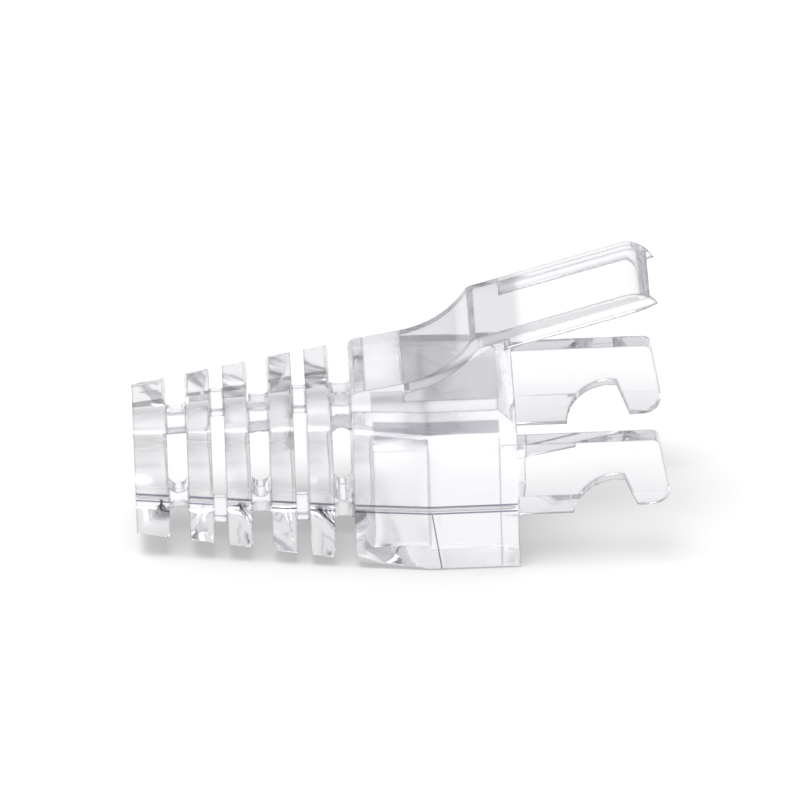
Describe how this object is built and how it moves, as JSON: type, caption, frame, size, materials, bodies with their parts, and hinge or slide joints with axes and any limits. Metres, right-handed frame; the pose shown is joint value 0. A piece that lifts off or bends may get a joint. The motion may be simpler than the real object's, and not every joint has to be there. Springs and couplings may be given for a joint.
{
  "type": "cable strain relief boot",
  "caption": "Clear moulded boot for a modular plug: tapered slotted neck for the cable, box body, hooked side prongs and a bent guard over the latch.",
  "frame": {"origin": "on the cable bore's axis, at the neck's cable-end face", "axes": "+X along the bore from the cable end towards the plug end, +Z to the latch side with the guard, +Y to the left of someone who looks along +X"},
  "size_m": [0.0381, 0.0146, 0.0204],
  "materials": {
    "clear_plastic": "clear, glossy, soft moulded plastic"
  },
  "bodies": {
    "root": {"strain_relief_boot": "clear_plastic"}
  },
  "joints": []
}
